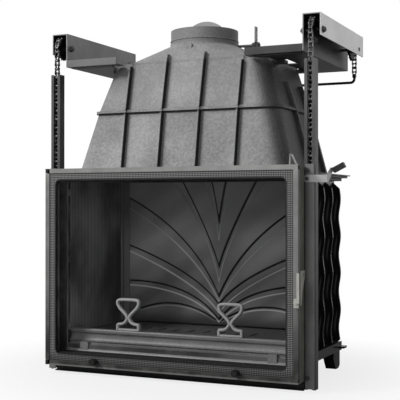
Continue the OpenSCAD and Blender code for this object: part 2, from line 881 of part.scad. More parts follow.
module carrier_section(length) {
  linear_extrude(length) difference() {
    square([carrier_w, carrier_d]);
    translate([-1, carrier_t]) square([carrier_w - carrier_t + 1, carrier_d - 2 * carrier_t]);
  }
}

module carrier_stile() {
  translate([door_x - carrier_w, carrier_y, door_z]) carrier_section(door_h);
}

module carrier_right() color(steel) carrier_stile();
module carrier_left() color(steel) mirror([1, 0, 0]) carrier_stile();

module carrier_rail() {
  half = door_x - carrier_w - 0.1;
  translate([-half, carrier_y, 0]) rotate([0, 90, 0]) rotate([0, 0, 180]) mirror([0, 1, 0]) carrier_section(2 * half);
}

module carrier_top() color(steel) translate([0, 0, door_top - carrier_w]) carrier_rail();
module carrier_bottom() color(steel) translate([0, 0, door_z + carrier_w]) mirror([0, 0, 1]) carrier_rail();

module carriage_arm(z0, z1) {
  arm_y = rail_y - 7.7;
  box(door_x - 12, chain_x + 5, arm_y, rail_y - 1.5, z0, z1);
  box(door_x - 12, door_x - 4, carrier_back, arm_y + eps, z0, z1);
  box(chain_x - 5, chain_x + 5, rail_y - 1.6, rail_y + rail_t + 2, z0, z1);
  box(chain_x - rail_w / 2 + rail_t + 0.5, chain_x + rail_w / 2 - rail_t - 0.5, rail_y + rail_t + 0.4,
      rail_y + rail_d - rail_t - 0.4, z0, z1);
}

module carriages() {
  lug_r = roller_r + 0.4;
  color(black) both() {
    difference() {
      union() {
        carriage_arm(anchor_z - 75, anchor_z - 12);
        box(chain_x - sprocket_t / 2, chain_x + sprocket_t / 2, chain_y - 6, chain_y + 8, anchor_z - 12.1, anchor_z);
        rod_x(chain_x - sprocket_t / 2, chain_x + sprocket_t / 2, chain_y, anchor_z, 6);
      }
      rod_x(chain_x - 10, chain_x + 10, chain_y, anchor_z, lug_r);
    }
    carriage_arm(door_z + 35, door_z + 95);
  }
}

module door_gasket() {
  x = door_x - carrier_w + gasket_in;
  z0 = door_z + gasket_in + 2;
  z1 = door_top - gasket_in - gasket_w;
  color([0.35, 0.35, 0.34]) {
    both() box(x, x + gasket_w, carrier_back + eps, -seat, z0, z1 + gasket_w);
    box(-x - 1, x + 1, carrier_back + eps, -seat, z0, z0 + gasket_w);
    box(-x - 1, x + 1, carrier_back + eps, -seat, z1, z1 + gasket_w);
  }
}

module hinge_pins() {
  lug_x = hinge_x - 5;
  color(black) for (end = [0, 1]) translate([0, 0, end == 0 ? door_z : door_top]) mirror([0, 0, end]) {
    translate([hinge_x, hinge_y, 0]) cylinder(h = 30, r = hinge_pin_r);
    difference() {
      box(lug_x, lug_x + hinge_block_w, leaf_y, carrier_y - 0.05, 0, hinge_block_h - 1);
      translate([hinge_x, hinge_y, -1]) cylinder(h = 30, r = hinge_pin_r - 0.5);
    }
  }
}

module latch_keeper() {
  x0 = door_x;
  color(brass_zinc) difference() {
    translate([x0 + 0.05, 0, 0]) rotate([90, 0, 90]) linear_extrude(2.5) polygon([
      [carrier_y + 1, 230], [carrier_y + 8, 230], [carrier_y + 16, 268], [carrier_y + 36, 300],
      [carrier_y + 36, 320], [carrier_y + 1, 320]
    ]);
    rod_x(x0 - 1, x0 + 5, carrier_y + 27, 308, 4);
  }
}

/* Door leaf */

module leaf_top() {
  x0 = hinge_x - 5 + hinge_block_h + 0.3;
  color(steel) {
    box(x0, door_x, leaf_y, leaf_y + strip_t, door_top - strip_w, door_top);
    box(x0, door_x, leaf_y + strip_t - eps, leaf_back, door_top - strip_t, door_top);
  }
}

module leaf_bottom() {
  x0 = hinge_x - 5 + hinge_block_h + 0.3;
  color(steel) {
    box(x0, door_x, leaf_y, leaf_y + strip_t, door_z, door_z + strip_w);
    box(x0, door_x, leaf_y + strip_t - eps, leaf_back, door_z, door_z + strip_t);
  }
}

module leaf_right() {
  z0 = door_z + strip_w + 0.1;
  z1 = door_top - strip_w - 0.1;
  color(steel) {
    box(door_x - strip_w, door_x, leaf_y, leaf_y + strip_t, z0, z1);
    box(door_x - strip_t, door_x, leaf_y + strip_t - eps, leaf_back, z0, z1);
  }
}

module leaf_left() {
  z0 = door_z + hinge_block_h;
  z1 = door_top - hinge_block_h;
  color(steel) difference() {
    union() {
      box(-door_x, -door_x + strip_w, leaf_y, leaf_y + strip_t, z0, z1);
      translate([hinge_x, hinge_y, z0]) cylinder(h = z1 - z0, r = hinge_r);
    }
    translate([hinge_x, hinge_y, z0 - 1]) cylinder(h = 24, r = hinge_pin_r + running);
    translate([hinge_x, hinge_y, z1 - 23]) cylinder(h = 24, r = hinge_pin_r + running);
  }
}

module door_glass() {
  notch = 10;
  color([0.25, 0.27, 0.28, 0.35]) difference() {
    box(hinge_x + hinge_r + 0.4, door_x - glass_edge, glass_y, glass_y + glass_t, door_z + glass_edge, door_top - glass_edge);
    for (z = [door_z, door_top - hinge_block_h]) box(hinge_x, hinge_x + notch, glass_y - 1, glass_y + glass_t + 1, z, z + hinge_block_h);
  }
}

module lifting_knobs() {
  knob_z = door_z + 20;
  color(black) both() translate([knob_pitch / 2, glass_y - 0.05, knob_z]) rotate([90, 0, 0]) {
    cylinder(h = 9 + strip_t, r = knob_d / 4);
    translate([0, 0, 9]) rotate_extrude() polygon(concat(
      [[0, 0], [knob_d / 2 - 3, 0]],
      [for (a = [-80 : 20 : 80]) [knob_d / 2 - 3 + 3 * cos(a), (knob_out - 9) / 2 + ((knob_out - 9) / 2) * sin(a)]],
      [[0, knob_out - 9]]
    ));
  }
}

module latch_block() {
  color(brass_zinc) difference() {
    box(door_x - 9, door_x + 3, leaf_y - 8, leaf_y - 0.05, 225, 249);
    rod_y(door_x - 3, leaf_y - 20, leaf_y + 1, 240, 2.6);
  }
}

module latch_lever() {
  lever_t = 4;
  y1 = leaf_y - 8.3;
  color(brass_zinc) {
    box(door_x, door_x + 7, y1 - lever_t, y1, 238, 316);
    rod_y(door_x - 3, y1 - lever_t, y1, 240, 6);
    rod_y(door_x - 3, y1 - eps, leaf_y - 1, 240, 2.5);
  }
}

/* Counterweight */

module counterweight_bail() {
  x_end = chain_x;
  lug_r = roller_r + 0.4;
  color(black) {
    rod_x(-x_end + bail_bend, x_end - bail_bend, bail_y, bail_z, bail_r);
    both() {
      translate([x_end - bail_bend, bail_y, bail_z + bail_bend]) rotate([90, 0, 0]) rotate([0, 0, -90])
        rotate_extrude(angle = 90) translate([bail_bend, 0]) circle(r = bail_r);
      translate([x_end, bail_y, bail_z + bail_bend]) cylinder(h = hook_z - bail_z - bail_bend - 5.5, r = bail_r);
      difference() {
        rod_x(x_end - sprocket_t / 2, x_end + sprocket_t / 2, bail_y, hook_z, 7);
        rod_x(x_end - 10, x_end + 10, bail_y, hook_z, lug_r);
      }
    }
  }
}

module counterweight_plates() {
  hanger_x = 150;
  color(dark_steel) {
    for (i = [0 : weight_count - 1]) translate([0, weight_y + i * (weight_t + 0.1), 0])
      box(-weight_x, weight_x, 0, weight_t, weight_top - weight_h, weight_top);
    both() difference() {
      union() {
        box(hanger_x - 3, hanger_x + 3, weight_y, bail_y + 8, weight_top, bail_z + 9);
        box(hanger_x - 20, hanger_x + 20, weight_y, weight_y + weight_count * weight_t, weight_top, weight_top + 4);
      }
      rod_x(hanger_x - 30, hanger_x + 30, bail_y, bail_z, bail_r + running);
    }
  }
}

module counterweight_guides() {
  guide_t = 2.5;
  x0 = weight_x + 3;
  guide_top = 800;
  color(dark_steel) both() {
    box(x0, x0 + 25, weight_y - 4, weight_y - 4 + guide_t, 60, guide_top);
    box(x0, x0 + guide_t, weight_y - 4, weight_y + weight_count * weight_t - 3, 60, guide_top);
  }
}

/* Levers, clip and screws */

module control_lever() {
  strap_t = 3;
  y0 = -1 - strap_t - seat;
  strap_r = 10;
  x1 = lever_x;
  color(steel) difference() {
    union() {
      box(pivot_x, x1, y0, y0 + strap_t, pivot_z - strap_r, pivot_z + strap_r);
      rod_y(pivot_x, y0, y0 + strap_t, pivot_z, strap_r);
      bar_x(x1 - strap_t, x1, [
        [y0, pivot_z - strap_r], [y0 + 12, pivot_z - strap_r], [46, pivot_z + 20], [46, pivot_z + 30], [34, pivot_z + 30],
        [y0, pivot_z + strap_r]
      ]);
      grip_place() grip_rods(-8, 9, grip_rod_r);
    }
    rod_y(pivot_x, -20, 20, pivot_z, pivot_r + running);
  }
}

// Place and tilt of the grip on the control lever
module grip_place() {
  translate([lever_x + 7, 40 - grip[1] / 2, pivot_z + 16]) rotate([0, -27, 0]) children();
}

// Two rods into the grip, from x0 to x1 along it
module grip_rods(x0, x1, r) {
  for (y = [0.3, 0.7]) rod_x(x0, x1, grip[1] * y, grip[2] / 2, r, 24);
}

module control_grip() {
  color(black) grip_place() difference() {
    cube(grip);
    grip_rods(-1, 12, grip_rod_r + running);
  }
}

module hood_clip() {
  clip_w = 12;
  color(steel) translate([slice_low[0], 0, top_z]) plate_y(14, 14 + clip_w)
    polygon(band_points([[0, seat], [1.5, 28], [3.5, 48], [7, 47], [18, 24], [29, 1.4]], 0.8));
}

module screws() {
  head_r = 6.5;
  color(dark_steel) both() for (z = screw_z) difference() {
    union() {
      rod_y(pivot_x, -3.6, -1.05, z, head_r);
      rod_y(pivot_x, -1.1, shank_end, z, 2.5);
    }
    box(pivot_x - 5, pivot_x + 5, -5, -2.6, z - 0.8, z + 0.8);
  }
  color(dark_steel) {
    rod_y(pivot_x, -7, -4.6, pivot_z, 5);
    rod_y(pivot_x, -4.7, -1.05, pivot_z, pivot_r);
    rod_y(pivot_x, -1.1, shank_end, pivot_z, 2.5);
  }
}

base_plate();
feet();
plinth();
hearth_lip();
left_side();
right_side();
rear_casting();
fan_panel();
grate();
ash_pan();
log_retainer();
left_andiron();
right_andiron();
top_plate();
lower_hood();
upper_hood();
hood_crown();
baffle();
flue_collar();
lintel();
left_jamb();
right_jamb();
rails();
left_channel();
right_channel();
shelves();
axle_bolts();
top_chains();
front_chains();
rear_chains();
left_front_sprocket();
right_front_sprocket();
left_rear_sprocket();
right_rear_sprocket();
carrier_left();
carrier_right();
carrier_top();
carrier_bottom();
carriages();
door_gasket();
hinge_pins();
latch_keeper();
leaf_left();
leaf_right();
leaf_top();
leaf_bottom();
door_glass();
lifting_knobs();
latch_block();
latch_lever();
counterweight_bail();
counterweight_plates();
counterweight_guides();
damper_shaft();
damper_disc();
damper_lever();
control_lever();
control_grip();
hood_clip();
screws();
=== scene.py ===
"""Looks of the fireplace insert: finishes, finer pieces, camera and studio."""

import json
import math

import bmesh
import bpy
import numpy
from mathutils import Matrix, Vector


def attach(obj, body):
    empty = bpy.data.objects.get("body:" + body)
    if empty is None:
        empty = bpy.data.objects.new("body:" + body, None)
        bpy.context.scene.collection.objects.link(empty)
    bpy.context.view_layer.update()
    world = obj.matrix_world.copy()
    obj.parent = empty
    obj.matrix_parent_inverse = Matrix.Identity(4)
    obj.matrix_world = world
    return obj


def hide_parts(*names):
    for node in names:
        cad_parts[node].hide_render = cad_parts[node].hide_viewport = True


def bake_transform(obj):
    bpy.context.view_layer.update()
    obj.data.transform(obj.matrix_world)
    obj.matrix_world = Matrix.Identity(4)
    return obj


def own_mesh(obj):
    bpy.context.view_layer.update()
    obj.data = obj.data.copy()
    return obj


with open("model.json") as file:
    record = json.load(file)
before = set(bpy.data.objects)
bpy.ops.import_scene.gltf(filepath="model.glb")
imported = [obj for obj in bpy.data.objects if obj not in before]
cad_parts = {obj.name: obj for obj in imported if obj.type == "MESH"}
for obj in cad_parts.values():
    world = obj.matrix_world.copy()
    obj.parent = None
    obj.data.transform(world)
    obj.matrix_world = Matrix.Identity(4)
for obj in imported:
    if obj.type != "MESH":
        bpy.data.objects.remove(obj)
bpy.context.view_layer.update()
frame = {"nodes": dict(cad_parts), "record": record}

# Sizes and counts that part.scad gives, with lengths in metres
CHAIN_X = 0.400
LINK = 0.0127
FRONT_LINKS, TOP_LINKS, REAR_LINKS, LIFT_LINKS = 45, 29, 6, 38
TEETH, ARC_LINKS = 16, 4
SPROCKET_RADIUS = LINK / (2 * math.sin(math.pi / TEETH))
AXLE_Z = 0.967
FRONT_AXLE_Y = 0.053
REAR_AXLE_Y = FRONT_AXLE_Y + TOP_LINKS * LINK
FRONT_CHAIN_Y = FRONT_AXLE_Y - SPROCKET_RADIUS
REAR_CHAIN_Y = REAR_AXLE_Y + SPROCKET_RADIUS
ANCHOR_Z = AXLE_Z - FRONT_LINKS * LINK
HOOK_Z = AXLE_Z - REAR_LINKS * LINK
FIRST_RIB_X = -0.17825
RIB_PITCH = 0.11883
BAND_UNDERSIDE = 0.765
LEVER_NUT_TOP = 0.9755
CHANNEL_INNER_X, CHANNEL_OUTER_X, CHANNEL_TOP = 0.3752, 0.4212, 1.008

# Places of printed marks and of painted highlight and shade, in metres
WALL_FLUTE_PITCH = 0.008
FIN_CREST_X, FIN_WAVE, FIN_WAVE_DEPTH, FIN_FOOT_Z = 0.3625, 0.1115, 0.003, 0.038
GLASS_CLEAR_HALF, GLASS_CLEAR_LOW, GLASS_CLEAR_TOP, GLASS_CORNER = 0.355, 0.061, 0.564, 0.012
GLASS_DOT_PITCH = 0.0048

FULL_TURN = 2 * math.pi
SIDEWAYS = (0.0, math.pi / 2, 0.0)


# Finishes


class Socket:
    """One output of a node, with Python's arithmetic on it."""

    def __init__(self, owner, link):
        self.owner = owner
        self.link = link

    def math(self, operation, *values):
        return self.owner.node("ShaderNodeMath", {"operation": operation}, dict(enumerate(values)))

    def __add__(self, other):
        return self.math("ADD", self, other)

    def __radd__(self, other):
        return self.math("ADD", other, self)

    def __sub__(self, other):
        return self.math("SUBTRACT", self, other)

    def __rsub__(self, other):
        return self.math("SUBTRACT", other, self)

    def __mul__(self, other):
        return self.math("MULTIPLY", self, other)

    def __rmul__(self, other):
        return self.math("MULTIPLY", other, self)

    def __abs__(self):
        return self.math("ABSOLUTE", self)

    def most(self, other):
        return self.math("MAXIMUM", self, other)

    def sine(self):
        return self.math("SINE", self)

    def root(self):
        return self.math("SQRT", self)

    def fraction(self):
        return self.math("FRACT", self)

    def rises(self, low, high):
        """0 below low, 1 above high and a smooth slope between them."""
        return self.owner.node(
            "ShaderNodeMapRange",
            {"interpolation_type": "SMOOTHSTEP"},
            {"Value": self, "From Min": low, "From Max": high},
        )

    def falls(self, low, high):
        """1 below low, 0 above high and a smooth slope between them."""
        return 1.0 - self.rises(low, high)

    def between(self, rise, fall):
        """1 between two slopes, each given by its two ends."""
        return self.rises(*rise) * self.falls(*fall)


class NodeTree:
    """A tree of nodes, for a material or the world."""

    def __init__(self, tree):
        self.tree = tree

    def fill(self, node, inputs):
        """Gives the node's sockets their values or links."""
        for socket, value in inputs.items():
            if isinstance(value, Socket):
                self.tree.links.new(value.link, node.inputs[socket])
            else:
                node.inputs[socket].default_value = value

    def node(self, kind, settings=None, inputs=None, output=0):
        """Any node: its type, settings, the values or links of its sockets, and the output in use."""
        made = self.tree.nodes.new(kind)
        for setting, value in (settings or {}).items():
            setattr(made, setting, value)
        self.fill(made, inputs or {})
        return Socket(self, made.outputs[output])

    def mixed(self, mask, below, above):
        """Two shaders mixed by the mask."""
        return self.node("ShaderNodeMixShader", inputs={0: mask, 1: below, 2: above})


class Finish(NodeTree):
    """A material with a Principled shader, built node by node."""

    def __init__(self, name, colour, roughness, metallic=0.0, specular=0.22):
        self.material = bpy.data.materials.new(name)
        self.material.use_nodes = True
        super().__init__(self.material.node_tree)
        self.shader = self.tree.nodes["Principled BSDF"]
        self.fill(self.shader, {"Base Color": (*colour, 1.0), "Roughness": roughness})
        self.fill(self.shader, {"Metallic": metallic, "Specular IOR Level": specular})
        self.place = self.node("ShaderNodeTexCoord", output="Object")

    def noise(self, scale, detail=3.0, roughness=0.55, stretch=(1.0, 1.0, 1.0)):
        spot = self.place
        if stretch != (1.0, 1.0, 1.0):
            spot = self.node("ShaderNodeMapping", inputs={"Vector": spot, "Scale": stretch})
        return self.node(
            "ShaderNodeTexNoise",
            inputs={"Vector": spot, "Scale": scale, "Detail": detail, "Roughness": roughness},
        )

    def axes(self):
        """The three coordinates of the place, in metres."""
        return [self.node("ShaderNodeSeparateXYZ", inputs={"Vector": self.place}, output=i) for i in range(3)]

    def tone(self, mask, dark, light):
        """A colour between dark and light."""
        return self.over(mask, (*dark, 1.0), (*light, 1.0))

    def over(self, mask, below, above):
        """The colour above laid over the colour below, by the mask."""
        sockets = {"Factor": mask, 6: below, 7: above}
        return self.node("ShaderNodeMix", {"data_type": "RGBA"}, sockets, output=2)

    def feed(self, socket, value):
        self.fill(self.shader, {socket: value})

    def bump(self, height, distance):
        """A bump of a real depth in metres."""
        self.feed("Normal", self.node("ShaderNodeBump", inputs={"Height": height, "Distance": distance}))


def grey(value):
    return (value, value, value)


def sand_cast_iron(name, dark, light, roughness, grain_depth):
    """Cast iron with the grain of the sand mould, soft blotches and a few pits."""
    iron = Finish(name, grey(light), roughness)
    blotch = iron.noise(7.0, 4.0).rises(0.32, 0.7)
    sand = iron.noise(420.0, 3.0, 0.7)
    grain = iron.noise(170.0, 3.0, 0.6).rises(0.3, 0.7)
    pits = iron.noise(95.0, 2.0).rises(0.66, 0.74)
    iron.feed("Base Color", iron.tone(blotch * 0.4 + sand * 0.2 + grain * 0.4, grey(dark), grey(light)))
    iron.feed("Roughness", roughness + 0.16 * (sand - 0.5))
    iron.bump(sand + grain - pits * 0.8, grain_depth)
    return iron.material


def hood_casting_iron(name):
    """Grey cast iron of the hood, with painted shade darker upwards and on the left, beside the ribs, under
    the band, on the two shoulders and down the right side.
    """
    iron = Finish(name, grey(0.2), 0.55)
    x, _, z = iron.axes()
    blotch = iron.noise(7.0, 4.0).rises(0.3, 0.7)
    sand = iron.noise(330.0, 3.0, 0.7)
    grain = iron.noise(130.0, 3.0, 0.6).rises(0.3, 0.7)
    pits = iron.noise(80.0, 2.0).rises(0.64, 0.72)
    # Painted shade: darker upwards, and more so on the left
    painted_shade_above = z.rises(0.6, 0.88) * 0.3 * (1.0 + 0.6 * x.falls(-0.26, -0.05))
    base = iron.tone((blotch * 0.45 + sand * 0.2 + grain * 0.35) * (1.0 - painted_shade_above), grey(0.13), grey(0.335))
    # Distance from the next rib on the left
    beside = ((x - FIRST_RIB_X) * (1.0 / RIB_PITCH)).fraction() * RIB_PITCH
    on_front = x.between((-0.186, -0.182), (0.205, 0.225)) * z.falls(0.905, 0.938)
    # Painted shade on each rib's right side and the painted shadow it casts to its right
    corner = beside.between((0.0012, 0.0022), (0.0052, 0.024)) * on_front
    edge = beside.between((0.0010, 0.0020), (0.0046, 0.0060)) * on_front
    # The band's painted shadow: a wide soft one and a narrow dark one
    band_edge = (BAND_UNDERSIDE + 0.0002, BAND_UNDERSIDE + 0.0012)
    under = z.between((BAND_UNDERSIDE - 0.017, BAND_UNDERSIDE - 0.001), band_edge)
    band_shadow_line = z.between((BAND_UNDERSIDE - 0.0075, BAND_UNDERSIDE - 0.005), band_edge)
    # Painted shade on the two shoulders, under the shelves, which climbs to the right
    sides = x.rises(0.18, 0.24) + x.falls(-0.24, -0.09)
    shoulder_shade = (z - 0.4 * (x + 0.18).most(0.0)).rises(0.80, 0.905) * z.falls(0.914, 0.92) * sides
    # Painted shade down the right side, which turns away from the key lamp
    right_side_shade = (x + 0.275 * z).rises(0.43, 0.485)
    shade = (corner * 0.62).most(edge * 0.97).most(under * 0.42).most(band_shadow_line * 0.9)
    shade = shade.most(right_side_shade * 0.8).most(shoulder_shade * 0.62)
    iron.feed("Base Color", iron.over(shade, base, iron.tone(sand, grey(0.004), grey(0.016))))
    iron.feed("Roughness", 0.55 + 0.16 * (sand - 0.5))
    iron.bump(sand + grain - pits * 0.8, 0.0006)
    return iron.material


def rolled_sheet(name, dark, light, roughness, metallic, direction=(1.0, 1.0, 14.0)):
    """Sheet steel with faint rolling streaks and handling marks."""
    sheet = Finish(name, grey(light), roughness, metallic)
    streak = sheet.noise(60.0, 3.0, 0.6, direction)
    cloud = sheet.noise(9.0, 3.0).rises(0.3, 0.72)
    sheet.feed("Base Color", sheet.tone(streak * 0.45 + cloud * 0.55, grey(dark), grey(light)))
    sheet.feed("Roughness", roughness + 0.18 * (streak - 0.5))
    sheet.bump(streak, 0.00004)
    return sheet.material


def satin_paint(name, colour, roughness):
    """Sprayed paint with a fine orange-peel skin and a little dust."""
    paint = Finish(name, colour, roughness)
    orange_peel = paint.noise(700.0, 2.0)
    dust = paint.noise(22.0, 4.0).rises(0.45, 0.8)
    paint.feed("Base Color", paint.tone(dust * 0.35, colour, tuple(c * 1.5 + 0.006 for c in colour)))
    paint.feed("Roughness", roughness + 0.12 * dust)
    paint.bump(orange_peel, 0.00005)
    return paint.material


def zinc_plate(name):
    """Yellow zinc plating with a faint spangle."""
    zinc = Finish(name, (0.5, 0.5, 0.42), 0.42, 0.35)
    spangle = zinc.noise(160.0, 2.0)
    wash = zinc.noise(14.0, 3.0).rises(0.3, 0.7)
    zinc.feed("Base Color", zinc.tone(wash * 0.6 + spangle * 0.4, (0.27, 0.27, 0.24), (0.43, 0.43, 0.395)))
    zinc.feed("Roughness", 0.34 + 0.2 * spangle)
    zinc.bump(spangle, 0.00003)
    return zinc.material


def glass_rope(name):
    """Braided glass-fibre rope: two crossing sets of strands."""
    rope = Finish(name, grey(0.2), 0.9)
    x, _, z = rope.axes()
    strands = 420.0
    braid = ((x + z) * strands).sine() * ((x - z) * strands).sine()
    rope.feed("Base Color", rope.tone(braid.rises(-0.8, 0.8), grey(0.08), grey(0.26)))
    rope.bump(braid, 0.0006)
    return rope.material


def chain_steel(name):
    """Oiled chain steel: bright where it rubs, dark in the oil film."""
    steel = Finish(name, grey(0.2), 0.38, 0.7)
    film = steel.noise(130.0, 3.0).rises(0.36, 0.62)
    grain = steel.noise(900.0, 2.0)
    steel.feed("Base Color", steel.tone(film, grey(0.015), grey(0.15)))
    steel.feed("Roughness", 0.3 + 0.25 * film)
    steel.bump(grain, 0.00003)
    return steel.material


def printed_glass(name):
    """Clear ceramic glass with a dark dotted border printed on it."""
    glass = Finish(name, grey(0.12), 0.16)
    x, _, z = glass.axes()
    # Distance out of the clear field, which has round corners
    middle, half_height = (GLASS_CLEAR_LOW + GLASS_CLEAR_TOP) / 2, (GLASS_CLEAR_TOP - GLASS_CLEAR_LOW) / 2
    across = (abs(x) - (GLASS_CLEAR_HALF - GLASS_CORNER)).most(0.0)
    up = (abs(z - middle) - (half_height - GLASS_CORNER)).most(0.0)
    outside = (across * across + up * up).root()
    border = outside.rises(GLASS_CORNER - 0.0004, GLASS_CORNER + 0.0004)
    rim = border * outside.falls(GLASS_CORNER + 0.0032, GLASS_CORNER + 0.004)
    slope = math.pi / GLASS_DOT_PITCH
    dots = (((x + z) * slope).sine() * ((x - z) * slope).sine()).rises(-0.15, 0.35)
    sooted = 1.0 - 0.72 * z.falls(0.03, 0.075)
    haze = glass.noise(5.0, 4.0).rises(0.4, 0.8)
    glass.feed("Base Color", glass.tone(dots * (1.0 - rim) * sooted, grey(0.006), grey(0.2)))
    glass.feed("Alpha", border + (1.0 - border) * (0.012 + 0.012 * haze))
    glass.feed("Roughness", 0.12 + 0.3 * border)
    return glass.material


def frame_paint(name):
    """Grey paint on the leaf's strips, with painted light that brightens them upwards and to the right, a
    light line low down and black below it.
    """
    paint = Finish(name, grey(0.2), 0.4)
    x, _, z = paint.axes()
    # Painted light: brighter upwards and to the right, as the lamp falls on the strips
    painted_light_up = (z.rises(0.05, 0.3) * 0.5 + z.rises(0.55, 0.592) * 0.22) * (0.75 + 0.25 * x.rises(-0.385, 0.39))
    dust = paint.noise(24.0, 4.0).rises(0.35, 0.8)
    # A light line just above the black bottom
    light_line_near_bottom = z.between((0.0240, 0.0250), (0.0285, 0.0300))
    shown = paint.tone(painted_light_up + 0.15 * dust + 0.3 * light_line_near_bottom, (0.016, 0.016, 0.015), (0.3, 0.3, 0.295))
    underside = z.falls(0.0225, 0.0240)
    paint.feed("Base Color", paint.over(underside, shown, paint.tone(dust, grey(0.002), grey(0.006))))
    paint.feed("Roughness", 0.36 + 0.16 * dust)
    paint.bump(paint.noise(700.0, 2.0), 0.00004)
    return paint.material


def side_casting_iron(name):
    """Glossy black on the fins outside with a painted highlight along their waves, and sooted iron with
    painted shade in the wall's flutes and a softer sheen on the firebox side.
    """
    iron = Finish(name, grey(0.02), 0.35)
    x, y, z = iron.axes()
    outer = (abs(x) + 0.043 * (y - 0.052).most(0.0)).rises(0.3606, 0.3624)
    sand = iron.noise(420.0, 3.0, 0.7)
    cloud = iron.noise(5.0, 3.0, 0.5, (1.0, 1.0, 0.6)).rises(0.36, 0.66)
    # Painted shade in the hollows of the wall's flutes
    valley = 0.5 + 0.5 * ((y - 0.054) * (FULL_TURN / WALL_FLUTE_PITCH)).sine()
    soot_and_flute_shade = iron.tone((cloud * 0.75 + sand * 0.25) * (1.0 - 0.72 * valley), grey(0.012), grey(0.38))
    bead = y.between((0.3125, 0.3130), (0.3225, 0.3230)) * abs(x).falls(0.3462, 0.3466)
    soot_and_flute_shade = iron.over(bead, soot_and_flute_shade, iron.tone(sand, grey(0.07), grey(0.15)))
    # Painted highlight: a light line that follows the waves of the fins
    wave = FIN_WAVE_DEPTH * ((z - FIN_FOOT_Z) * (FULL_TURN / FIN_WAVE)).sine()
    off_crest = abs(abs(x) - FIN_CREST_X - wave)
    streak = off_crest.falls(0.0004, 0.0042) * (z * 56.0).sine().rises(-0.9, 0.9)
    black = iron.tone(streak * 0.85 + sand * 0.12, grey(0.003), grey(0.085))
    iron.feed("Base Color", iron.over(outer, soot_and_flute_shade, black))
    iron.feed("Roughness", (0.5 + 0.14 * (sand - 0.5)) - 0.24 * outer)
    iron.bump(sand, 0.00018)
    return iron.material


def relief_iron(name):
    """Sooted iron of the fan panel, with a painted highlight on the lower edge of each flute, painted shade
    in its upper edge and a painted sheen in slanting bands.
    """
    iron = Finish(name, grey(0.06), 0.45)
    x, _, z = iron.axes()
    edge = iron.node("ShaderNodeAttribute", {"attribute_name": "flute_light_and_shade"}, output=2)
    sand = iron.noise(380.0, 3.0, 0.7)
    cloud = iron.noise(4.2, 2.0, 0.45).rises(0.36, 0.62)
    # Painted sheen in slanting wide and narrow bands, and a tone that grows lighter upwards
    slant = math.radians(35.0)
    across = z * math.cos(slant) - x * math.sin(slant) + 0.012 * cloud
    wide_pitch, narrow_pitch = 0.21, 0.085
    wide = (across * (FULL_TURN / wide_pitch) + 1.3).sine().rises(-1.0, 1.0)
    narrow = (across * (FULL_TURN / narrow_pitch)).sine().rises(-1.0, 1.0)
    sheen = cloud * 0.2 + wide * 0.16 + narrow * cloud * 0.16 + sand * 0.06 + z.rises(0.17, 0.52) * 0.52
    base = iron.tone(sheen, grey(0.018), grey(0.29))
    base = iron.over(z.rises(0.115, 0.17), iron.tone(sand, grey(0.012), grey(0.03)), base)
    # Painted highlight on the flutes' lower edges and painted shade in their upper edges, read from the mesh
    bright = iron.tone(sand, grey(0.28), grey(0.44))
    black = iron.tone(sand, grey(0.0), grey(0.004))
    lined = iron.over((0.0 - edge).rises(0.05, 0.6), base, black)
    iron.feed("Base Color", iron.over(edge.rises(0.05, 0.6), lined, bright))
    iron.feed("Roughness", 0.44 + 0.2 * (sand - 0.5))
    iron.bump(sand, 0.0002)
    return iron.material


def carrier_paint(name):
    """Grey paint on the carrier's outer faces; sooted behind the glass, with the wall's flutes on the left as
    stripes of painted shade.
    """
    paint = Finish(name, grey(0.1), 0.5)
    x, y, z = paint.axes()
    outer = abs(x).rises(0.3878, 0.3886).most(z.rises(0.5972, 0.5982))
    dust = paint.noise(18.0, 4.0).rises(0.35, 0.8)
    shown = paint.tone(dust, (0.075, 0.076, 0.062), (0.13, 0.13, 0.108))
    # Painted shade in stripes, like the hollows of the wall's flutes
    flutes = 0.5 + 0.5 * (y * (FULL_TURN / WALL_FLUTE_PITCH)).sine()
    left_side = x.falls(-0.352, -0.348) * z.rises(0.05, 0.2)
    hidden = paint.tone((0.25 + 0.75 * dust) * (1.0 - 0.7 * flutes) * left_side, grey(0.010), grey(0.14))
    paint.feed("Base Color", paint.over(outer, hidden, shown))
    paint.feed("Roughness", 0.6 - 0.18 * outer)
    paint.bump(paint.noise(700.0, 2.0), 0.00004)
    return paint.material


def shelf_sheet(name):
    """Bare sheet of the two shelves, with painted light on the left one and painted shade on the right one.
    """
    sheet = Finish(name, grey(0.12), 0.45, 0.2)
    x, _, _ = sheet.axes()
    streak = sheet.noise(60.0, 3.0, 0.6, (14.0, 1.0, 1.0))
    cloud = sheet.noise(9.0, 3.0).rises(0.3, 0.72)
    marks = streak * 0.45 + cloud * 0.55
    # Painted light on the left shelf and painted shade on the right one
    left, right = sheet.tone(marks, grey(0.07), grey(0.125)), sheet.tone(marks, grey(0.012), grey(0.04))
    sheet.feed("Base Color", sheet.over(x.rises(-0.01, 0.01), left, right))
    sheet.feed("Roughness", 0.45 + 0.18 * (streak - 0.5))
    sheet.bump(streak, 0.00004)
    return sheet.material


def lever_steel(name):
    """Grey strip steel of the damper lever, black on the nuts at its foot."""
    steel = Finish(name, grey(0.2), 0.4, 0.4)
    _, _, z = steel.axes()
    grain = steel.noise(300.0, 3.0, 0.6)
    base = steel.tone(grain, grey(0.09), grey(0.2))
    foot = z.falls(LEVER_NUT_TOP, LEVER_NUT_TOP + 0.001)
    steel.feed("Base Color", steel.over(foot, base, steel.tone(grain, grey(0.006), grey(0.03))))
    steel.feed("Roughness", 0.34 + 0.2 * grain)
    steel.bump(grain, 0.00004)
    return steel.material


